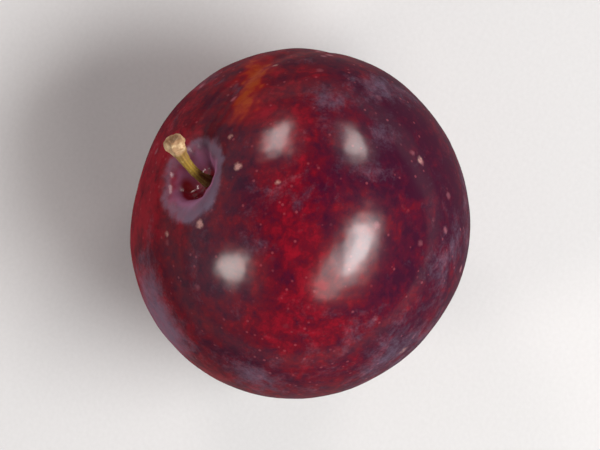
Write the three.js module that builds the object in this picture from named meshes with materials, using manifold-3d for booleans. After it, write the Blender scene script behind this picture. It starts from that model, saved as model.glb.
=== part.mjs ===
// A fresh plum with its stalk, lying on the flat spot it rests on. Millimetres, +Z up.
// The fruit is shaped upright in a frame of its own, with the stem axis along +Z and the suture
// on +X, and the whole plum is then turned and leaned into the way it lies.

import * as THREE from 'three';
import { mergeVertices } from 'three/addons/utils/BufferGeometryUtils.js';
import Module from 'manifold-3d';

// Body of the fruit
const cheekWidth = 51.4;        // from cheek to cheek, before one of them swells
const sutureWidth = 51.8;       // from the suture to the back, before the groove is sunk
const shoulderHeight = 24.3;    // equator to the stem end, before the cavity is sunk in it
const apexDepth = 24.6;         // equator to the blossom end
const shoulderFullness = 2.1;   // 2 is an ellipse, more is a squarer shoulder
const apexFullness = 2.0;
const heavyCheek = 0.3;         // how far one cheek swells, and the other shrinks
const tallShoulder = 0.4;       // how far the shoulder at the suture rises, and the back one drops
const dipDepth = 1.0;           // a flatter place on the slimmer cheek's shoulder
const dipPolar = THREE.MathUtils.degToRad(42);
const dipAzimuth = THREE.MathUtils.degToRad(97);
const dipSpread = THREE.MathUtils.degToRad(24);
const unevenness = 0.16;        // height of the broad waves in the skin

// Cavity that the stalk grows from, and the scar at the blossom end
const cavityDepth = 4.9;
const cavityRadius = 3.95;      // where the cavity is a third as deep as at its middle
const cavitySteepness = 2.4;
const scarDepth = 0.55;
const scarRadius = 2.4;

// Suture, the groove from the cavity down to the scar
const sutureDepth = 0.55;       // at the shoulder
const sutureFade = 0.4;         // share of that depth left near the blossom end
const sutureHalfWidth = 1.7;
const sutureValleyDepth = 0.35; // the wide hollow that the groove lies in
const sutureValleyHalfWidth = 7;
const sutureStart = 0.12;       // sine of the angle from the stem axis where the groove starts
const sutureFull = 0.45;        // and where it has its full depth

// Stalk: radius and height above the cavity's bottom, from its foot to the twig scar
const stalkRoot = 1.2;          // how deep it stands in the flesh
const footRadius = 0.95;
const shankRadius = 0.66;
const knobRadius = 1.45;
const stalkHeight = 9.9;
const stalkLean = 3.3;          // how far its end bends towards the suture
const stalkSwing = -0.6;        // and sideways
const rootGap = 0.3;            // clearance of the socket round and under the root

// How the plum lies
const stemLean = THREE.MathUtils.degToRad(48);    // stem axis, from straight up towards -Y
const sutureTurn = THREE.MathUtils.degToRad(190); // turn about the stem axis, suture towards -X
const flatSpotDepth = 0.5;      // how much of the underside the flat spot takes off

// Fineness of the mesh, closer set near the stem end and near the suture
const rows = 52;
const columns = 84;
const rowCrowding = 0.3;
const columnCrowding = 0.35;
const stalkSides = 16;

const cavityBottom = shoulderHeight - cavityDepth;

function bell(distance, width) {
  return Math.exp(-((distance / width) ** 2));
}

// How deep the suture lies below the cheeks, at an angle from the stem axis and a distance along
// the skin from the middle of the groove
function sutureDrop(polar, aside) {
  const fade = sutureFade + (1 - sutureFade) * bell(polar, 1.1);
  const ends = THREE.MathUtils.smoothstep(Math.sin(polar), sutureStart, sutureFull);
  const groove = sutureDepth * bell(aside, sutureHalfWidth);
  const valley = sutureValleyDepth * bell(aside, sutureValleyHalfWidth);
  return fade * ends * (groove + valley);
}

function angleToDip(outward, upward, azimuth) {
  const around = Math.cos(azimuth - dipAzimuth);
  const cosine = upward * Math.cos(dipPolar) + outward * Math.sin(dipPolar) * around;
  return Math.acos(THREE.MathUtils.clamp(cosine, -1, 1));
}

// A point of the skin, by its angle from the stem axis and its angle round it from the suture
function skinPoint(polar, azimuth) {
  const isUpper = polar < Math.PI / 2;
  const fullness = isUpper ? shoulderFullness : apexFullness;
  const height = isUpper ? shoulderHeight : apexDepth;
  const halfWidth = (cheekWidth - (cheekWidth - sutureWidth) * Math.cos(azimuth) ** 2) / 2;
  const outward = Math.sin(polar);
  const upward = Math.cos(polar);
  let radius = ((outward / halfWidth) ** fullness + (Math.abs(upward) / height) ** fullness)
    ** (-1 / fullness);

  radius -= sutureDrop(polar, halfWidth * outward * Math.abs(azimuth));
  radius -= heavyCheek * outward ** 2 * Math.sin(azimuth);
  radius += tallShoulder * outward * Math.max(upward, 0) * Math.cos(azimuth);
  radius -= dipDepth * bell(angleToDip(outward, upward, azimuth), dipSpread);
  radius += unevenness * outward ** 2 * Math.sin(3 * azimuth + 2.5 * upward + 0.8);
  radius += unevenness * outward * Math.sin(2 * azimuth - 1.9) * Math.sin(3 * polar);

  const aside = radius * outward;
  const cavity = isUpper ? cavityDepth * Math.exp(-((aside / cavityRadius) ** cavitySteepness)) : 0;
  const scar = isUpper ? 0 : scarDepth * bell(aside, scarRadius);
  return new THREE.Vector3(
    aside * Math.cos(azimuth),
    aside * Math.sin(azimuth),
    radius * upward - cavity + scar,
  );
}

function mergedGeometry(geometry) {
  geometry.deleteAttribute('normal');
  geometry.deleteAttribute('uv');
  return mergeVertices(geometry, 1e-4);
}

function makeFruitSkin() {
  const geometry = mergedGeometry(new THREE.SphereGeometry(1, columns, rows).rotateX(Math.PI / 2));
  const places = geometry.attributes.position;
  for (let i = 0; i < places.count; i += 1) {
    const polar = Math.acos(THREE.MathUtils.clamp(places.getZ(i), -1, 1));
    const azimuth = Math.atan2(places.getY(i), places.getX(i));
    const point = skinPoint(
      polar - rowCrowding * Math.sin(polar),
      azimuth - columnCrowding * Math.sin(azimuth),
    );
    places.setXYZ(i, point.x, point.y, point.z);
  }
  return geometry;
}

// The stalk is turned straight, as radius and height, and then bent towards the suture
function makeStalk() {
  const neck = stalkHeight - 2.6;
  const profile = [
    [0, -stalkRoot],
    [footRadius, -stalkRoot],
    [footRadius, 0.2],
    [shankRadius * 1.12, 1.6],
    [shankRadius, 3.4],
    [shankRadius, 5.4],
    [shankRadius * 1.1, neck - 1.2],
    [shankRadius * 1.35, neck],
    [knobRadius * 0.84, neck + 0.8],
    [knobRadius, neck + 1.5],
    [knobRadius * 0.92, neck + 2.2],
    [knobRadius * 0.6, stalkHeight],
    [0, stalkHeight - 0.25],
  ].map(([radius, height]) => new THREE.Vector2(radius, height));
  const geometry = mergedGeometry(new THREE.LatheGeometry(profile, stalkSides).rotateX(Math.PI / 2));
  const places = geometry.attributes.position;
  for (let i = 0; i < places.count; i += 1) {
    const height = places.getZ(i);
    const rise = Math.max(height, 0) / stalkHeight;
    const tilt = Math.atan(2 * stalkLean * rise / stalkHeight);
    places.setXYZ(
      i,
      stalkLean * rise ** 2 + places.getX(i) * Math.cos(tilt),
      stalkSwing * rise + places.getY(i) * (1 + 0.12 * rise),
      cavityBottom + height - places.getX(i) * Math.sin(tilt),
    );
  }
  return geometry;
}

function makeSocket() {
  const height = stalkRoot + rootGap + cavityDepth / 2;
  const socket = new THREE.CylinderGeometry(
    footRadius + rootGap, footRadius + rootGap, height, stalkSides,
  );
  socket.rotateX(Math.PI / 2);
  socket.translate(0, 0, cavityBottom - stalkRoot - rootGap + height / 2);
  return mergedGeometry(socket);
}

// Turn about the stem axis, lean towards -Y, then stand on the flat spot over the origin
function makePose(skin) {
  const pose = new THREE.Matrix4().makeRotationX(stemLean);
  pose.multiply(new THREE.Matrix4().makeRotationZ(sutureTurn));
  const box = new THREE.Box3().setFromBufferAttribute(
    skin.clone().applyMatrix4(pose).attributes.position,
  );
  const middle = box.getCenter(new THREE.Vector3());
  const shift = new THREE.Matrix4().makeTranslation(
    -middle.x, -middle.y, -box.min.z - flatSpotDepth,
  );
  return pose.premultiply(shift);
}

const manifoldLibrary = await Module();
manifoldLibrary.setup();

function toSolid(geometry) {
  return new manifoldLibrary.Manifold(new manifoldLibrary.Mesh({
    numProp: 3,
    vertProperties: new Float32Array(geometry.attributes.position.array),
    triVerts: new Uint32Array(geometry.index.array),
  }));
}

function toGeometry(solid) {
  const mesh = solid.getMesh();
  const geometry = new THREE.BufferGeometry();
  geometry.setAttribute('position', new THREE.BufferAttribute(mesh.vertProperties, 3));
  geometry.setIndex(new THREE.BufferAttribute(mesh.triVerts, 1));
  geometry.computeVertexNormals();
  return geometry;
}

const skin = makeFruitSkin();
const pose = makePose(skin);
const ground = mergedGeometry(
  new THREE.BoxGeometry(2 * cheekWidth, 2 * cheekWidth, cheekWidth).translate(0, 0, -cheekWidth / 2),
);
const fruitSolid = toSolid(skin.applyMatrix4(pose))
  .subtract(toSolid(makeSocket().applyMatrix4(pose)))
  .subtract(toSolid(ground));

const fruit = new THREE.Mesh(
  toGeometry(fruitSolid),
  new THREE.MeshStandardMaterial({ color: 0x6a1022, roughness: 0.32, metalness: 0 }),
);
fruit.name = 'fruit';

const stalk = new THREE.Mesh(
  makeStalk().applyMatrix4(pose),
  new THREE.MeshStandardMaterial({ color: 0x8c7638, roughness: 0.8, metalness: 0 }),
);
stalk.name = 'stalk';

const plum = new THREE.Group();
plum.add(fruit, stalk);

export default plum;
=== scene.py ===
# A fresh plum on the flat spot it lies on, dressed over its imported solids. Metres, +Z up.
import math

import bpy
import numpy as np
from mathutils import Matrix, Vector


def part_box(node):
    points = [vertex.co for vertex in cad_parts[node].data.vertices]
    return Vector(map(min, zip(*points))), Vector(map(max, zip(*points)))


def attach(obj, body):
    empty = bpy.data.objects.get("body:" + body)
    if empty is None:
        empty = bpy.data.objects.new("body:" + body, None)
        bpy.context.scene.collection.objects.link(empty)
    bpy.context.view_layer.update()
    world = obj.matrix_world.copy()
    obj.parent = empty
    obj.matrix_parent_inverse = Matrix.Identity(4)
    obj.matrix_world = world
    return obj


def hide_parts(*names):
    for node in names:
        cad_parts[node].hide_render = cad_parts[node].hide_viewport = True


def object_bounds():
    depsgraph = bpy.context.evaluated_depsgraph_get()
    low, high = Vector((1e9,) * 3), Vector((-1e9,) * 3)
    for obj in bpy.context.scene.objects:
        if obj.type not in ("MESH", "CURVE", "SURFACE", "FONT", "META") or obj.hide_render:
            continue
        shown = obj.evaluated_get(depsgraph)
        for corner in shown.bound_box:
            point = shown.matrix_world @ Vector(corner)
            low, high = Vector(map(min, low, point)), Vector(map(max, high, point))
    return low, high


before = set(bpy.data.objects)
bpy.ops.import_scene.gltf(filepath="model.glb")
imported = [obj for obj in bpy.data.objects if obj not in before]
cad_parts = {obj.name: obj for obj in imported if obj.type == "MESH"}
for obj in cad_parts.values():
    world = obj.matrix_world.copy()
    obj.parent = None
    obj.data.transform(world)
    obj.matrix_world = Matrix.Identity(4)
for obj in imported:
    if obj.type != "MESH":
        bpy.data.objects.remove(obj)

cad_low, cad_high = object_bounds()


# The fruit: a thin waxed skin over firm flesh, grown in one piece round its stone. A funnel at the
# stem end holds the stalk, a shallow suture runs down from it to the scar where the flower was, and
# the underside has given a little where the plum lies.

cheek_width = 0.0514            # from cheek to cheek, before one of them swells
suture_width = 0.0518           # from the suture to the back, before the groove is sunk
shoulder_height = 0.0243        # equator to the stem end, before the cavity is sunk in it
apex_depth = 0.0246             # equator to the blossom end
mean_radius = 0.0255
shoulder_fullness = 2.1         # 2 is an ellipse, more is a squarer shoulder
apex_fullness = 2.0
heavy_cheek = 0.0003            # how far one cheek swells, and the other shrinks
tall_shoulder = 0.0004          # how far the shoulder at the suture rises, and the back one drops
dip_depth = 0.0010              # a flatter place on the slimmer cheek's shoulder
dip_polar = math.radians(42)
dip_azimuth = math.radians(97)
dip_spread = math.radians(24)
unevenness = 0.00016            # height of the two broad waves in the skin
wave_starts = (0.8, -1.9)       # where round the fruit each wave begins, in radians
wave_twist = 2.5                # how far the first shifts from the equator to an end, in radians

cavity_depth = 0.0049
cavity_radius = 0.00395         # where the cavity is a third as deep as at its middle
cavity_steepness = 2.4
scar_depth = 0.00055
scar_radius = 0.0024

suture_depth = 0.00055          # at the shoulder
suture_fade = 0.4               # share of that depth left near the blossom end
suture_reach = 1.1              # angle from the stem axis over which it fades, in radians
suture_half_width = 0.0017
suture_valley_depth = 0.00035   # the wide hollow that the groove lies in
suture_valley_half_width = 0.007
suture_start = 0.12             # sine of the angle from the stem axis where the groove starts
suture_full = 0.45              # and where it has its full depth

stem_lean = math.radians(48)    # stem axis, from straight up towards -Y
suture_turn = math.radians(190) # turn about the stem axis, suture towards -X
flat_spot_depth = 0.0005        # how much of the underside the flat spot takes off
flat_spot_roll = 0.00006        # how softly the skin rolls on to it

# Points of the skin, closer set near the stem end and near the suture
skin_columns = 440
skin_rows = 216
row_crowding = 0.42
column_crowding = 0.2

# Fine relief, as height and the distance from one crest to the next
skin_relief = ((0.000035, 0.0105), (0.000010, 0.0046), (0.000003, 0.0017))
fold_height = 0.00013           # folds that run down the cavity's wall
fold_radius = 0.0035
fold_spread = 0.0015
folds_around = ((5, 1.0, 1.0), (8, 2.2, 0.7), (13, 0.4, 0.5))    # count, start and share
foot_moat_depth = 0.0003        # ring round the stalk's foot
foot_moat_radius = 0.0019
foot_moat_spread = 0.0006
tuck_depth = 0.0006             # tuck in the skin on the cavity's back wall
tuck_radius = 0.0031
tuck_spread = 0.00075
tuck_azimuth = math.radians(160)
tuck_turn = 1.0                 # how far round it reaches, in radians

random_waves = np.random.default_rng(5)


def bell(distance, width):
    return np.exp(-(distance / width) ** 2)


def smooth_step(value, low, high):
    share = np.clip((value - low) / (high - low), 0.0, 1.0)
    return share * share * (3.0 - 2.0 * share)


def angle_between(polar, azimuth, polar_at, azimuth_at):
    cosine = (np.cos(polar) * math.cos(polar_at)
              + np.sin(polar) * math.sin(polar_at) * np.cos(azimuth - azimuth_at))
    return np.arccos(np.clip(cosine, -1.0, 1.0))


def random_field(places, spacing, count=28):
    """A smooth random value at each place, seldom past -2 or 2, with crests a spacing apart."""
    ways = random_waves.normal(size=(count, 3))
    ways *= math.tau / spacing / np.linalg.norm(ways, axis=1, keepdims=True)
    starts = random_waves.uniform(0.0, math.tau, count)
    return np.sin(places @ ways.T + starts).sum(axis=1) * math.sqrt(2.0 / count)


def add_fields(values, places, fields):
    """The values with random fields added, each given by its height and its spacing."""
    for height, spacing in fields:
        values = values + height * random_field(places, spacing)
    return values


def suture_drop(polar, aside):
    """How deep the suture lies below the cheeks, at an angle from the stem axis and a distance along
    the skin from the middle of the groove."""
    fade = suture_fade + (1.0 - suture_fade) * bell(polar, suture_reach)
    ends = smooth_step(np.sin(polar), suture_start, suture_full)
    groove = suture_depth * bell(aside, suture_half_width)
    valley = suture_valley_depth * bell(aside, suture_valley_half_width)
    return fade * ends * (groove + valley)


def skin_places(polar, azimuth):
    """The skin in the fruit's own frame, stem axis up and suture on +X. Also its distances from the
    stem axis and along the skin from the suture, and how much of the tuck is there."""
    outward = np.sin(polar)
    upward = np.cos(polar)
    is_upper = upward > 0.0
    fullness = np.where(is_upper, shoulder_fullness, apex_fullness)
    height = np.where(is_upper, shoulder_height, apex_depth)
    half_width = (cheek_width - (cheek_width - suture_width) * np.cos(azimuth) ** 2) / 2.0
    radius = (outward / half_width) ** fullness + (np.abs(upward) / height) ** fullness
    radius = radius ** (-1.0 / fullness)
    from_suture = half_width * outward * np.abs(azimuth)

    radius -= suture_drop(polar, from_suture)
    radius -= heavy_cheek * outward ** 2 * np.sin(azimuth)
    radius += tall_shoulder * outward * np.maximum(upward, 0.0) * np.cos(azimuth)
    radius -= dip_depth * bell(angle_between(polar, azimuth, dip_polar, dip_azimuth), dip_spread)
    three_waves = np.sin(3.0 * azimuth + wave_twist * upward + wave_starts[0])
    two_waves = np.sin(2.0 * azimuth + wave_starts[1])
    radius += unevenness * outward ** 2 * three_waves
    radius += unevenness * outward * two_waves * np.sin(3.0 * polar)

    directions = np.stack([outward * np.cos(azimuth), outward * np.sin(azimuth), upward], axis=1)
    radius = add_fields(radius, directions * mean_radius, skin_relief)

    aside = radius * outward
    cavity = cavity_depth * np.exp(-(aside / cavity_radius) ** cavity_steepness)
    folds = sum(part * np.sin(count * azimuth + start) for count, start, part in folds_around)
    cavity += fold_height * bell(aside - fold_radius, fold_spread) * folds
    cavity += foot_moat_depth * bell(aside - foot_moat_radius, foot_moat_spread)
    turned = np.abs(np.angle(np.exp(1j * (azimuth - tuck_azimuth))))
    tuck = bell(turned, tuck_turn) * bell(aside - tuck_radius, tuck_spread)
    cavity += tuck_depth * tuck
    cavity = np.where(is_upper, cavity, 0.0)
    scar = np.where(is_upper, 0.0, scar_depth * bell(aside, scar_radius))
    places = np.stack([
        aside * np.cos(azimuth),
        aside * np.sin(azimuth),
        radius * upward - cavity + scar,
    ], axis=1)
    return places, aside, from_suture, tuck


crowded_polar = np.linspace(0.0, math.pi, skin_rows + 1)
crowded_polar -= row_crowding * np.sin(crowded_polar)
crowded_azimuth = np.linspace(-math.pi, math.pi, skin_columns, endpoint=False)
crowded_azimuth -= column_crowding * np.sin(crowded_azimuth)
polar_grid, azimuth_grid = np.meshgrid(crowded_polar[1:-1], crowded_azimuth, indexing="ij")
polar_all = np.concatenate([[0.0], polar_grid.ravel(), [math.pi]])
azimuth_all = np.concatenate([[0.0], azimuth_grid.ravel(), [0.0]])
upright, aside_all, from_suture_all, tuck_all = skin_places(polar_all, azimuth_all)

# The CAD box gives where the fruit lies. Its facets cut a hair inside the curve, so the smooth skin
# is shrunk by that hair to stay within it.
lean_and_turn = Matrix.Rotation(stem_lean, 3, "X") @ Matrix.Rotation(suture_turn, 3, "Z")
pose = np.array(lean_and_turn)
lying = upright @ pose.T
skin_low, skin_high = lying.min(axis=0), lying.max(axis=0)
fruit_low, fruit_high = (np.array(corner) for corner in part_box("fruit"))
wanted = fruit_high - fruit_low
wanted[2] += flat_spot_depth
shrink = float(min(1.0, (wanted / (skin_high - skin_low)).min()))
shift = (fruit_low + fruit_high) / 2.0 - shrink * (skin_low + skin_high) / 2.0
shift[2] = fruit_high[2] - shrink * skin_high[2]


def lay_down(places):
    """From the fruit's own frame to the way the plum lies."""
    return shrink * (places @ pose.T) + shift


# Skin that would lie below the floor is pressed up to it, with a soft bend round the flat spot
skin = lay_down(upright)
skin[:, 2] = (skin[:, 2] + np.sqrt(skin[:, 2] ** 2 + flat_spot_roll ** 2)) / 2.0
skin[:, 2] = np.minimum(skin[:, 2], fruit_high[2])


def revolved_faces(rings, sides):
    """Faces of a closed skin: one point, then rings of points, then one point."""
    ring = np.arange(rings - 1)[:, None] * sides + 1
    side = np.arange(sides)[None, :]
    following = (side + 1) % sides
    quads = np.stack([ring + side, ring + side + sides, ring + following + sides, ring + following],
                     axis=-1).reshape(-1, 4)
    last = rings * sides + 1
    final_ring = (rings - 1) * sides + 1
    first_fan = [(0, 1 + s, 1 + (s + 1) % sides) for s in range(sides)]
    last_fan = [(last, final_ring + (s + 1) % sides, final_ring + s) for s in range(sides)]
    return first_fan + quads.tolist() + last_fan


def make_piece(name, places, faces):
    mesh = bpy.data.meshes.new(name)
    mesh.from_pydata(places.tolist(), [], faces)
    mesh.shade_smooth()
    piece = bpy.data.objects.new(name, mesh)
    bpy.context.scene.collection.objects.link(piece)
    return piece


def keep_on_points(piece, name, values):
    """A number at each point of the mesh, which the piece's material reads by its name."""
    layer = piece.data.attributes.new(name, "FLOAT", "POINT")
    layer.data.foreach_set("value", np.asarray(values, dtype=np.float32))


fruit = make_piece("plum_skin", skin, revolved_faces(skin_rows - 1, skin_columns))

# Where the wax bloom, the colours and the marks lie. Angles are from the stem axis and round it from
# the suture, in degrees, and strengths are from 0 to about 1.
bloom_places = (
    # polar, azimuth, spread, strength
    (55, 160, 12, 0.90),
    (68, 159, 11, 0.65),
    (104, -83, 14, 0.10),
    (105, -129, 14, 0.20),
    (81, -163, 13, 0.24),
    (77, -39, 13, 0.10),
    (41, -118, 9, 0.42),
    (113, 59, 24, 0.55),
    (95, 118, 18, 0.45),
    (141, -45, 22, 0.50),
    (127, 150, 20, 0.45),
)
rubbed_places = (
    (61, -130, 20, 0.8),
    (22, 111, 17, 0.6),
    (83, -86, 9, 0.4),
    (35, -154, 12, 0.6),
    (30, 22, 12, 0.6),
    (84, -62, 10, 0.3),
    (82, 88, 14, 0.5),
    (121, 2, 15, 0.5),
)
bright_places = (
    (63, -132, 20, 0.36),
    (20, 104, 17, 1.10),
    (50, -96, 18, 0.22),
    (102, 89, 28, 0.25),
    (123, 7, 24, 0.25),
)
dark_places = (
    (84, -58, 20, 0.35),
    (34, -157, 12, 0.20),
    (23, -70, 11, 0.35),
    (64, -16, 14, 0.30),
    (61, -33, 11, 0.22),
    (36, 150, 9, 0.25),
    (79, -162, 14, 0.25),
)
specks = (
    # polar, azimuth, radius in metres, strength
    (21, -144, 0.00075, 1.0),
    (22, -76, 0.00070, 1.0),
    (23, 172, 0.00060, 0.6),
    (86, -61, 0.00070, 0.8),
    (20, -41, 0.00060, 0.6),
    (37, -84, 0.00050, 0.7),
    (50, -6, 0.00055, 0.7),
    (114, -125, 0.0010, 0.55),
    (74, 117, 0.00080, 0.7),
    (123, 59, 0.00070, 0.8),
    (100, -22, 0.00060, 0.6),
    (60, 67, 0.00055, 0.7),
)


def places_mask(places_list):
    total = np.zeros(len(polar_all))
    for polar_at, azimuth_at, spread, strength in places_list:
        away = angle_between(polar_all, azimuth_all, math.radians(polar_at),
                             math.radians(azimuth_at))
        total += strength * bell(away, math.radians(spread))
    return total


# A pale ring of bloom lies round the cavity, a little off the stem axis and with a ragged edge
halo_radius = 0.0056
halo_shift = (-0.0008, -0.0008)
halo_spread = 0.00095
halo_raggedness = ((0.00022, 0.0042), (0.00010, 0.0016))
wall_edge = 0.0018              # how far inside the ring the cavity's wall has its whole colour
foot_spread = 0.0024            # wet red place at the bottom of the cavity
on_upper = upright[:, 2] > 0.0
off_centre = np.hypot(upright[:, 0] - halo_shift[0], upright[:, 1] - halo_shift[1])
ragged = add_fields(off_centre, upright, halo_raggedness)
halo = bell(ragged - halo_radius, halo_spread) * on_upper
wall = smooth_step(halo_radius - ragged, 0.0, wall_edge) * on_upper
foot = np.clip(bell(aside_all, foot_spread) * on_upper + tuck_all, 0.0, 1.0)

# Bloom lies in the hollows, in patches and in broad clouds, and handling has rubbed some of it off
thin_bloom = 0.05
bloom_clouds = ((0.07, 0.021), (0.06, 0.009))
bloom_rubbed_off = 0.6
halo_bloom = 0.95
wall_bloom = 0.40
apex_bloom = 0.30
apex_bloom_radius = 0.004
suture_bloom = 0.12
suture_bloom_width = 0.0022
apex_ring = bell(aside_all - apex_bloom_radius, apex_bloom_radius) * ~on_upper
bloom = add_fields(thin_bloom, upright, bloom_clouds)
bloom += places_mask(bloom_places) - bloom_rubbed_off * places_mask(rubbed_places)
bloom += halo_bloom * halo + wall_bloom * wall + apex_bloom * apex_ring
bloom += suture_bloom * bell(from_suture_all, suture_bloom_width) * np.sin(polar_all)

# Painted shade and light: the skin is painted darker to the picture's right and redder to its left.
# The way to the darker side is given in the fruit's own frame.
middle_redness = 0.44
painted_shade_strength = 0.26
painted_shade_way = np.array([0.324, -0.669, -0.669])
redness_clouds = ((0.12, 0.026),)
towards_painted_shade = upright @ painted_shade_way / mean_radius
redness_and_painted_shade = add_fields(middle_redness - painted_shade_strength * towards_painted_shade, upright, redness_clouds)
redness_and_painted_shade += places_mask(bright_places) - places_mask(dark_places)

# A rubbed streak of orange runs over the shoulder, weaker at its ends, with a ragged edge
streak_from = (27, -23)         # polar and azimuth, in degrees
streak_to = (51, 8)
streak_spread = math.radians(5.6)
streak_raggedness = ((0.022, 0.0034), (0.014, 0.0015))    # heights in radians
streak_ends = 0.65
streak_steps = 13
streak_edge = add_fields(0.0, upright, streak_raggedness)
streak = np.zeros(len(polar_all))
for along in np.linspace(0.0, 1.0, streak_steps):
    polar_at, azimuth_at = (math.radians(start + along * (end - start))
                            for start, end in zip(streak_from, streak_to))
    away = angle_between(polar_all, azimuth_all, polar_at, azimuth_at) + streak_edge
    strength = streak_ends + (1.0 - streak_ends) * math.sin(math.pi * along)
    streak = np.maximum(streak, strength * bell(np.maximum(away, 0.0), streak_spread))

speck = np.zeros(len(polar_all))
for polar_at, azimuth_at, radius, strength in specks:
    away = angle_between(polar_all, azimuth_all, math.radians(polar_at), math.radians(azimuth_at))
    speck = np.maximum(speck, strength * bell(away * mean_radius, radius))

apex_spread = 0.0011            # dry scar where the flower was
for name, values in (
    ("bloom", np.clip(bloom, 0.0, 1.0)),
    ("redness_and_painted_shade", np.clip(redness_and_painted_shade, 0.0, 1.0)),
    ("streak", streak),
    ("speck", speck),
    ("wall", wall),
    ("foot", foot),
    ("dull", wall * (1.0 - foot)),
    ("apex", bell(aside_all, apex_spread) * ~on_upper),
):
    keep_on_points(fruit, name, values)


def linear(hex_colour):
    """An sRGB colour, such as 7d0c1e, as the linear colour that the shader takes."""
    parts = [int(hex_colour[i:i + 2], 16) / 255.0 for i in (0, 2, 4)]
    return tuple(p / 12.92 if p <= 0.04045 else ((p + 0.055) / 1.055) ** 2.4 for p in parts) + (1.0,)


def add_node(tree, kind, settings=None, inputs=None, stops=()):
    """Adds a node with its settings, and gives each input its value or links it to an output. A
    colour ramp also gets its stops, as pairs of place and sRGB hex."""
    node = tree.nodes.new(kind)
    for name, value in (settings or {}).items():
        setattr(node, name, value)
    for name, value in (inputs or {}).items():
        if isinstance(value, bpy.types.NodeSocket):
            tree.links.new(value, node.inputs[name])
        else:
            node.inputs[name].default_value = value
    elements = node.color_ramp.elements if stops else ()
    while len(elements) < len(stops):
        elements.new(0.5)
    for element, (place, hex_colour) in zip(elements, stops):
        element.position = place
        element.color = linear(hex_colour)
    return node


def new_material(name):
    material = bpy.data.materials.new(name)
    material.use_nodes = True
    material.node_tree.nodes.clear()
    return material, material.node_tree


# Plum skin: wine red to purple under clear wax, with pale pores and a powdery grey bloom. The wax
# gives soft-edged highlights, and the bloom dulls and greys them.
skin_material, tree = new_material("plum_skin_with_bloom")
where = add_node(tree, "ShaderNodeTexCoord").outputs["Object"]
kept = {}
for name in ("bloom", "redness_and_painted_shade", "streak", "speck", "wall", "foot", "dull", "apex"):
    kept[name] = add_node(tree, "ShaderNodeAttribute", {"attribute_name": name}).outputs["Fac"]

# The grains of the bloom are a few thousandths of a millimetre, so its powder is drawn far coarser
noise = {}
for name, spacing_mm, detail, roughness, distortion in (
    ("blush", 12.0, 3.0, 0.55, 0.4),
    ("blotch", 3.6, 4.0, 0.62, 0.6),
    ("mottle", 1.5, 3.0, 0.65, 0.3),
    ("grain", 0.55, 2.0, 0.65, 0.0),
    ("patch", 7.0, 4.0, 0.62, 0.8),
    ("smudge", 2.0, 4.0, 0.65, 0.5),
    ("powder", 0.38, 2.0, 0.7, 0.0),
):
    noise[name] = add_node(tree, "ShaderNodeTexNoise", {}, {
        "Vector": where, "Scale": 1000.0 / spacing_mm, "Detail": detail, "Roughness": roughness,
        "Distortion": distortion,
    }).outputs["Fac"]

# Each noise lies round a half, so half of its gain comes off the sum
# The redness read here carries painted shade, darker to the picture's right and redder to its left
tone = kept["redness_and_painted_shade"]
tone_gains = (("blush", 0.9), ("blotch", 1.3), ("mottle", 1.2), ("grain", 0.4))
for name, gain in tone_gains:
    tone = add_node(tree, "ShaderNodeMath", {"operation": "MULTIPLY_ADD"}, {
        0: noise[name], 1: gain, 2: tone}).outputs[0]
tone = add_node(tree, "ShaderNodeMath", {"operation": "SUBTRACT", "use_clamp": True}, {
    0: tone, 1: sum(gain for name, gain in tone_gains) / 2.0}).outputs[0]
ground_colour = add_node(tree, "ShaderNodeValToRGB", {}, {"Fac": tone}, stops=(
    (0.0, "340820"), (0.32, "480a20"), (0.62, "5e0a1b"), (1.0, "820c1e")))

bloom = kept["bloom"]
bloom_gains = (("patch", 1.1), ("smudge", 0.7), ("powder", 0.4))
for name, gain in bloom_gains:
    bloom = add_node(tree, "ShaderNodeMath", {"operation": "MULTIPLY_ADD"}, {
        0: noise[name], 1: gain, 2: bloom}).outputs[0]
for name, loss in (("foot", -1.3), ("streak", -0.8)):
    bloom = add_node(tree, "ShaderNodeMath", {"operation": "MULTIPLY_ADD"}, {
        0: kept[name], 1: loss, 2: bloom}).outputs[0]
bloom_middle = sum(gain for name, gain in bloom_gains) / 2.0

# A dot in some of the cells that the skin cuts through. Real pores are about 0.2 mm across, too fine
# to show, so they are drawn about twice as wide, and the rarer flecks are wider and ragged.
pore_cell_mm = 1.35
fleck_cell_mm = 4.0
fleck_raggedness = 0.16
cells = {}
for name, cell_mm in (("pore", pore_cell_mm), ("fleck", fleck_cell_mm)):
    voronoi = add_node(tree, "ShaderNodeTexVoronoi", {}, {"Vector": where, "Scale": 1000.0 / cell_mm})
    kind = add_node(tree, "ShaderNodeSeparateColor", {}, {"Color": voronoi.outputs["Color"]})
    cells[name] = voronoi.outputs["Distance"], kind.outputs[0]
pore_distance, pore_kind = cells["pore"]
fleck_distance, fleck_kind = cells["fleck"]
fleck_edge = add_node(tree, "ShaderNodeMath", {"operation": "MULTIPLY_ADD"}, {
    0: noise["grain"], 1: fleck_raggedness, 2: fleck_distance}).outputs[0]
streak_fleck = add_node(tree, "ShaderNodeMath", {"operation": "MULTIPLY"}, {
    0: kept["streak"], 1: noise["mottle"]}).outputs[0]
speck_fleck = add_node(tree, "ShaderNodeMath", {"operation": "MULTIPLY"}, {
    0: kept["speck"], 1: noise["grain"]}).outputs[0]

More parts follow.
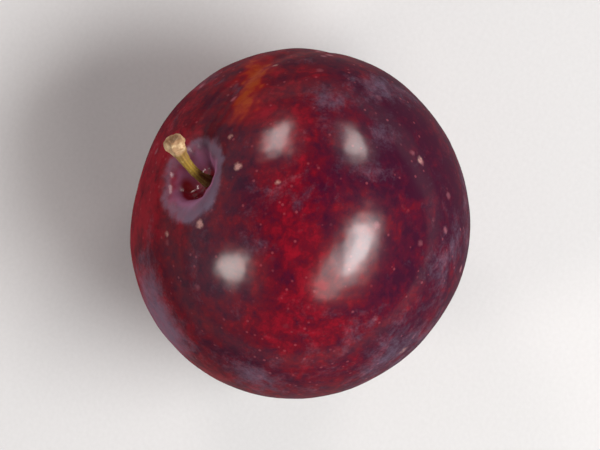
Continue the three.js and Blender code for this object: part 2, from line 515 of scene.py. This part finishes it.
# How much of each mark shows, from none to its most, as its source goes from one value to another
share = {}
for name, source, nothing_at, full_at, most in (
    ("bloom", bloom, bloom_middle + 0.05, bloom_middle + 1.05, 1.0),
    ("pore", pore_distance, 0.21, 0.09, 1.0),
    ("pore kept", pore_kind, 0.35, 0.80, 1.0),
    ("fleck", fleck_edge, 0.28, 0.12, 1.0),
    ("fleck kept", fleck_kind, 0.40, 0.95, 1.0),
    ("red edge", kept["streak"], 0.05, 0.70, 0.55),
    ("streak", streak_fleck, 0.18, 0.58, 0.92),
    ("wall", kept["wall"], 0.0, 1.0, 0.78),
    ("foot", kept["foot"], 0.25, 0.75, 0.95),
    ("apex", kept["apex"], 0.2, 0.7, 0.85),
    ("speck", speck_fleck, 0.10, 0.48, 0.85),
):
    share[name] = add_node(tree, "ShaderNodeMapRange", {"interpolation_type": "SMOOTHSTEP"}, {
        "Value": source, "From Min": nothing_at, "From Max": full_at, "To Max": most,
    }).outputs["Result"]
for name, whole, factor in (
    ("pore", "pore", share["pore kept"]),
    ("fleck", "fleck", share["fleck kept"]),
    ("pore tint", "pore", 0.40),
    ("fleck tint", "fleck", 0.55),
    ("bloom tint", "bloom", 0.50),
):
    share[name] = add_node(tree, "ShaderNodeMath", {"operation": "MULTIPLY"}, {
        0: share[whole], 1: factor}).outputs[0]

colour = ground_colour.outputs["Color"]
for name, tint in (
    ("fleck tint", "a86470"),
    ("pore tint", "9a4650"),
    ("red edge", "9c140c"),
    ("streak", "963c12"),
    ("wall", "a0688a"),
    ("foot", "7a0410"),
    ("apex", "6e4a30"),
    ("bloom tint", "8a8298"),
    ("speck", "ba8c84"),
):
    colour = add_node(tree, "ShaderNodeMix", {"data_type": "RGBA"}, {
        0: share[name], 6: colour, 7: linear(tint)}).outputs[2]

# The wax is thinnest under the bloom, and seen aslant the bloom's grains hide what is left of it.
# The cavity's wall is duller, and its bottom stays glossy.
wax_under_bloom = 0.25
wax_aslant = 0.12
wax_lost_on_wall = 0.75
wax_at_foot = 0.7
aslant = add_node(tree, "ShaderNodeLayerWeight", {}, {"Blend": 0.5}).outputs["Facing"]
bare = add_node(tree, "ShaderNodeMapRange", {}, {
    "Value": share["bloom"], "From Min": 0.0, "From Max": 0.9,
    "To Min": 1.0, "To Max": wax_under_bloom}).outputs["Result"]
head_on = add_node(tree, "ShaderNodeMapRange", {}, {
    "Value": aslant, "From Min": 0.12, "From Max": 0.45,
    "To Min": 1.0, "To Max": wax_aslant}).outputs["Result"]
on_wall = add_node(tree, "ShaderNodeMath", {"operation": "MULTIPLY_ADD"}, {
    0: kept["dull"], 1: -wax_lost_on_wall, 2: 1.0}).outputs[0]
wax = bare
for factor in (head_on, on_wall):
    wax = add_node(tree, "ShaderNodeMath", {"operation": "MULTIPLY"}, {0: wax, 1: factor}).outputs[0]
wax = add_node(tree, "ShaderNodeMath", {"operation": "MULTIPLY_ADD", "use_clamp": True}, {
    0: kept["foot"], 1: wax_at_foot, 2: wax}).outputs[0]
roughness = add_node(tree, "ShaderNodeMapRange", {}, {
    "Value": share["bloom"], "To Min": 0.45, "To Max": 0.75}).outputs["Result"]

# Grain, powder and mottling stand a few hundredths of a millimetre proud, and so do pores and specks
relief = 0.0
for source, gain in (
    (noise["grain"], 0.30),
    (noise["powder"], 0.20),
    (noise["mottle"], 0.8),
    (share["pore"], 0.4),
    (share["speck"], 1.2),
):
    relief = add_node(tree, "ShaderNodeMath", {"operation": "MULTIPLY_ADD"}, {
        0: source, 1: gain, 2: relief}).outputs[0]
bumps = add_node(tree, "ShaderNodeBump", {}, {
    "Strength": 0.35, "Distance": 0.00004, "Height": relief})

shader = add_node(tree, "ShaderNodeBsdfPrincipled", {}, {
    "Base Color": colour, "Roughness": roughness, "IOR": 1.40, "Specular IOR Level": 0.0,
    "Coat Weight": wax, "Coat Roughness": 0.19, "Coat IOR": 1.50,
    "Subsurface Weight": 0.08, "Subsurface Scale": 0.0015, "Subsurface Radius": (1.0, 0.25, 0.2),
    "Normal": bumps.outputs["Normal"],
})
add_node(tree, "ShaderNodeOutputMaterial", {}, {"Surface": shader.outputs["BSDF"]})
fruit.data.materials.append(skin_material)
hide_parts("fruit")
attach(fruit, "root")


# The stalk: a short woody stem, olive and ribbed, grown into the bottom of the cavity. It ends in a
# swollen tan knob, the dry scar where it parted from the twig.

stalk_root = 0.0012             # how deep it stands in the flesh
foot_radius = 0.00095
shank_radius = 0.00066
knob_radius = 0.00145
stalk_height = 0.0099
stalk_lean = 0.0033             # how far its end bends towards the suture
stalk_swing = -0.0006           # and sideways
stalk_widening = 0.12           # how much wider it grows across the bend, as a share
top_hollow = 0.00035            # how far the middle of its end lies below the rim
cavity_bottom = shoulder_height - cavity_depth
knob_height = 0.0026
neck = stalk_height - knob_height
stalk_outline = (
    # radius, height above the cavity's bottom
    (0.0, -stalk_root),
    (foot_radius * 0.7, -stalk_root),
    (foot_radius, -stalk_root * 0.6),
    (foot_radius, 0.0002),
    (shank_radius * 1.12, 0.0016),
    (shank_radius, 0.0034),
    (shank_radius, 0.0054),
    (shank_radius * 1.1, neck - 0.0012),
    (shank_radius * 1.35, neck),
    (knob_radius * 0.84, neck + 0.0008),
    (knob_radius, neck + 0.0015),
    (knob_radius * 0.90, neck + 0.0022),
    (knob_radius * 0.62, stalk_height - 0.00005),
    (knob_radius * 0.30, stalk_height - 0.0003),
    (0.0, stalk_height - top_hollow),
)
stalk_sides = 72
stalk_rings = 170

# Heights here are shares of the stalk's radius, and twists are radians to a metre of stalk
rib_height = 0.055
ribs_around = ((9, 0.0, 220.0, 1.0), (5, -1.3, 110.0, 0.5))    # count, start, twist and share
knob_lobes = ((3, 1.0, 0.07), (5, 2.3, 0.05))                  # count, start and height
bud_ring_height = 0.05          # low rings where its bud scales were
bud_rings = ((0.0024, 0.00022, 1.0), (neck + 0.0003, 0.0002, 0.8))    # place, spread and share
crumple_spacing = 0.0011
shank_crumple = 0.02
knob_crumple = 0.03             # on top of the shank's
knob_blend = 0.0012             # over this height the shank turns into the knob
rim_low = 0.0008                # depths below its top between which the end's rough face begins
rim_high = 0.0002
face_roughness = 0.00006        # metres
face_spacing = 0.0007


def smooth_line(corners, count, steps_between=24):
    """Points evenly spaced along a smooth line through the corners."""
    corners = np.array(corners)
    padded = np.vstack([2 * corners[0] - corners[1], corners, 2 * corners[-1] - corners[-2]])
    dense = []
    for before, start, end, after in zip(padded, padded[1:], padded[2:], padded[3:]):
        for t in np.linspace(0.0, 1.0, steps_between, endpoint=False):
            dense.append(0.5 * (2 * start + (end - before) * t
                                + (2 * before - 5 * start + 4 * end - after) * t ** 2
                                + (3 * start - before - 3 * end + after) * t ** 3))
    dense = np.array(dense + [corners[-1]])
    along = np.concatenate([[0.0], np.cumsum(np.linalg.norm(np.diff(dense, axis=0), axis=1))])
    wanted_along = np.linspace(0.0, along[-1], count)
    return np.stack([np.interp(wanted_along, along, dense[:, i]) for i in range(2)], axis=1)


# Radius, height and angle of each point, with one point at the root's middle and one at the top's
outline = smooth_line(stalk_outline, stalk_rings + 2)[1:-1]
ring_radii = np.maximum(outline[:, 0], 0.0)
ring_angles = np.linspace(0.0, math.tau, stalk_sides, endpoint=False)
radii = np.concatenate([[0.0], np.repeat(ring_radii, stalk_sides), [0.0]])
heights = np.repeat(outline[:, 1], stalk_sides)
heights = np.concatenate([[-stalk_root], heights, [stalk_height - top_hollow]])
angles = np.concatenate([[0.0], np.tile(ring_angles, stalk_rings), [0.0]])

on_knob = smooth_step(heights, neck, neck + knob_blend)
on_top = smooth_step(heights, stalk_height - rim_low, stalk_height - rim_high)
ribs = sum(part * np.sin(count * angles + start + twist * heights)
           for count, start, twist, part in ribs_around)
lobes = sum(height * np.sin(count * angles + start) for count, start, height in knob_lobes)
rings = sum(part * bell(heights - place, spread) for place, spread, part in bud_rings)
radii *= 1.0 + (1.0 - on_knob) * rib_height * ribs + on_knob * lobes + bud_ring_height * rings

straight = np.stack([radii * np.cos(angles), radii * np.sin(angles), heights], axis=1)
crumple = (shank_crumple + knob_crumple * on_knob) * random_field(straight, crumple_spacing)
straight[:, :2] *= (1.0 + crumple)[:, None]
straight[:, 2] += face_roughness * on_top * random_field(straight, face_spacing)

# The stalk bends along a parabola, and its rings tilt with it
rise = np.maximum(straight[:, 2], 0.0) / stalk_height
tilt = np.arctan(2.0 * stalk_lean * rise / stalk_height)
bent = np.stack([
    stalk_lean * rise ** 2 + straight[:, 0] * np.cos(tilt),
    stalk_swing * rise + straight[:, 1] * (1.0 + stalk_widening * rise),
    cavity_bottom + straight[:, 2] - straight[:, 0] * np.sin(tilt),
], axis=1)
stalk = make_piece("plum_stalk", lay_down(bent), revolved_faces(stalk_rings, stalk_sides))
stalk.data.flip_normals()    # its rings run upwards, and the fruit's downwards
for name, values in (("rise", rise), ("knob", on_knob), ("top", on_top), ("rib", ribs)):
    keep_on_points(stalk, name, values)

# Dry plum bark: olive with brown furrows, browner at the foot, corky tan at the knob. It is dull,
# with a trace of gloss on the ribs.
stalk_material, tree = new_material("dry_stalk_bark")
where = add_node(tree, "ShaderNodeTexCoord").outputs["Object"]
kept = {}
for name in ("rise", "knob", "top", "rib"):
    kept[name] = add_node(tree, "ShaderNodeAttribute", {"attribute_name": name}).outputs["Fac"]

# Bark fibres are about 0.1 mm wide, too fine to show, so they are drawn five times as wide
noise = {}
for name, spacing_mm, detail, roughness in (("fibre", 0.5, 4.0, 0.7), ("cork", 0.8, 3.0, 0.6)):
    noise[name] = add_node(tree, "ShaderNodeTexNoise", {}, {
        "Vector": where, "Scale": 1000.0 / spacing_mm, "Detail": detail, "Roughness": roughness,
    }).outputs["Fac"]
bark = add_node(tree, "ShaderNodeValToRGB", {}, {"Fac": kept["rise"]}, stops=(
    (0.0, "4a2a1a"), (0.14, "6d5620"), (0.50, "92781f"), (0.74, "8a6c34")))

share = {}
for name, source, nothing_at, full_at, most in (
    ("furrow", kept["rib"], 1.2, -1.2, 0.35),
    ("pale fibre", noise["fibre"], 0.52, 0.70, 0.5),
    ("knob", kept["knob"], 0.1, 0.9, 1.0),
    ("pale cork", noise["cork"], 0.45, 0.65, 0.65),
    ("dark cork", noise["fibre"], 0.58, 0.72, 0.6),
    ("top", kept["top"], 0.3, 1.0, 0.55),
):
    share[name] = add_node(tree, "ShaderNodeMapRange", {"interpolation_type": "SMOOTHSTEP"}, {
        "Value": source, "From Min": nothing_at, "From Max": full_at, "To Max": most,
    }).outputs["Result"]
for name in ("pale cork", "dark cork"):
    share[name] = add_node(tree, "ShaderNodeMath", {"operation": "MULTIPLY"}, {
        0: share[name], 1: kept["knob"]}).outputs[0]
colour = bark.outputs["Color"]
for name, tint in (
    ("furrow", "4b3216"),
    ("pale fibre", "b09a58"),
    ("knob", "a98863"),
    ("pale cork", "dcc79a"),
    ("dark cork", "6b4526"),
    ("top", "7b5733"),
):
    colour = add_node(tree, "ShaderNodeMix", {"data_type": "RGBA"}, {
        0: share[name], 6: colour, 7: linear(tint)}).outputs[2]

bark_roughness = 0.52           # between the fibres
fibre_roughness = 0.25          # and how much more on them
cork_relief = 0.6               # as a share of the fibres'
roughness = add_node(tree, "ShaderNodeMath", {"operation": "MULTIPLY_ADD"}, {
    0: noise["fibre"], 1: fibre_roughness, 2: bark_roughness}).outputs[0]
relief = add_node(tree, "ShaderNodeMath", {"operation": "MULTIPLY_ADD"}, {
    0: noise["cork"], 1: cork_relief, 2: noise["fibre"]}).outputs[0]
bumps = add_node(tree, "ShaderNodeBump", {}, {
    "Strength": 0.6, "Distance": 0.00008, "Height": relief})
shader = add_node(tree, "ShaderNodeBsdfPrincipled", {}, {
    "Base Color": colour, "Roughness": roughness, "IOR": 1.47, "Normal": bumps.outputs["Normal"]})
add_node(tree, "ShaderNodeOutputMaterial", {}, {"Surface": shader.outputs["BSDF"]})
stalk.data.materials.append(stalk_material)
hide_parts("stalk")
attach(stalk, "root")


# The floor: one flat sheet of pale paper under the plum, wide enough to fill every view. It lies
# just under the flat spot, so that the two don't share a plane.

floor_side = 6.0
floor_drop = 0.00002
half = floor_side / 2.0
floor_corners = np.array([
    (across * half, along * half, -floor_drop)
    for across, along in ((-1, -1), (1, -1), (1, 1), (-1, 1))
])
floor = make_piece("floor", floor_corners, [(0, 1, 2, 3)])

# Uncoated paper: it scatters light evenly, so it takes soft shadows and mirrors nothing. Its fibres
# are too fine to show, so its pulp is drawn as faint clouds 0.6 mm apart.
pulp_spacing_mm = 0.6
floor_material, tree = new_material("pale_matt_paper")
where = add_node(tree, "ShaderNodeTexCoord").outputs["Object"]
pulp = add_node(tree, "ShaderNodeTexNoise", {}, {
    "Vector": where, "Scale": 1000.0 / pulp_spacing_mm, "Detail": 3.0}).outputs["Fac"]
paper = add_node(tree, "ShaderNodeValToRGB", {}, {"Fac": pulp}, stops=(
    (0.2, "c9cdcd"), (0.8, "ced2d2")))
shader = add_node(tree, "ShaderNodeBsdfPrincipled", {}, {
    "Base Color": paper.outputs["Color"], "Roughness": 0.85, "IOR": 1.4})
add_node(tree, "ShaderNodeOutputMaterial", {}, {"Surface": shader.outputs["BSDF"]})
floor.data.materials.append(floor_material)


# The view and the light: straight down on the plum, turned so that its stalk lies to the upper left,
# with oval soft boxes round the camera that give the skin its highlights, in a dim room.

picture_roll = math.radians(115.8)    # from the frame's +X to the picture's right-hand side
camera_height = 0.9
picture_height = 0.0665               # what the picture takes in from top to bottom, at mid-plum
picture_shape = 600 / 450
sensor_width = 36.0                   # millimetres
plum_middle = (Vector(cad_low) + Vector(cad_high)) / 2.0
right = Vector((math.cos(picture_roll), math.sin(picture_roll), 0.0))
up = Vector((-math.sin(picture_roll), math.cos(picture_roll), 0.0))
camera_data = bpy.data.cameras.new("camera")
camera_data.sensor_width = sensor_width
camera_data.lens = sensor_width * (camera_height - plum_middle.z) / (picture_height * picture_shape)
camera = bpy.data.objects.new("camera", camera_data)
bpy.context.scene.collection.objects.link(camera)
camera.matrix_world = Matrix((
    (right.x, up.x, 0.0, plum_middle.x),
    (right.y, up.y, 0.0, plum_middle.y),
    (0.0, 0.0, 1.0, camera_height),
    (0.0, 0.0, 0.0, 1.0),
))
bpy.context.scene.camera = camera


def picture_way(across, upwards, towards):
    """A way that is given in the picture, right, up and towards the camera, in the frame."""
    return right * across + up * upwards + Vector((0.0, 0.0, towards))


soft_boxes = (
    # name, way in the picture, width, height, turn to the left in degrees, brightness, colour
    ("key", (0.600, -0.220, 0.760), 0.28, 0.50, -26, 12.2, "fffcfc"),
    ("key_spill", (0.570, -0.300, 0.757), 0.42, 0.84, -32, 4.0, "fff4f0"),
    ("left", (-0.740, -0.360, 0.570), 0.18, 0.24, -40, 12.0, "fff0ea"),
    ("back_left", (-0.320, 0.820, 0.475), 0.17, 0.24, 10, 10.5, "ffecea"),
    ("back_right", (0.525, 0.745, 0.412), 0.18, 0.23, 0, 12.2, "ffeeea"),
)
light_distance = 0.7
for name, box_way, width, height, turned_left, brightness, glow in soft_boxes:
    light_data = bpy.data.lights.new(name, "AREA")
    light_data.shape = "ELLIPSE"
    light_data.size = width
    light_data.size_y = height
    light_data.color = linear(glow)[:3]
    light_data.energy = brightness * math.pi ** 2 * width * height / 4.0    # watts
    light = bpy.data.objects.new(name, light_data)
    bpy.context.scene.collection.objects.link(light)
    way = picture_way(*box_way).normalized()
    sideways = up.cross(way).normalized()
    facing = Matrix((sideways, way.cross(sideways), way)).transposed().to_4x4()
    place = Matrix.Translation(plum_middle + way * light_distance)
    light.matrix_world = place @ facing @ Matrix.Rotation(math.radians(turned_left), 4, "Z")

# The room is dark overhead and paler towards the floor, with daylight from the picture's left
room = bpy.data.worlds.new("room")
room.use_nodes = True
tree = room.node_tree
tree.nodes.clear()
look = add_node(tree, "ShaderNodeTexCoord").outputs["Generated"]
height_in_room = add_node(tree, "ShaderNodeSeparateXYZ", {}, {"Vector": look}).outputs["Z"]
walls = add_node(tree, "ShaderNodeValToRGB", {}, {"Fac": height_in_room}, stops=(
    (0.0, "747478"), (0.50, "4a4a4e"), (0.85, "242426")))
daylight_way = tuple(picture_way(-0.9, 0.1, 0.3))
towards_daylight = add_node(tree, "ShaderNodeVectorMath", {"operation": "DOT_PRODUCT"}, {
    0: look, 1: daylight_way}).outputs["Value"]
daylight = add_node(tree, "ShaderNodeMapRange", {"interpolation_type": "SMOOTHSTEP"}, {
    "Value": towards_daylight, "From Min": 0.2, "From Max": 1.0, "To Min": 1.0, "To Max": 4.0})
air = add_node(tree, "ShaderNodeBackground", {}, {
    "Strength": daylight.outputs["Result"], "Color": walls.outputs["Color"]})
add_node(tree, "ShaderNodeOutputWorld", {}, {"Surface": air.outputs["Background"]})
bpy.context.scene.world = room
bpy.context.scene.view_settings.view_transform = "Standard"
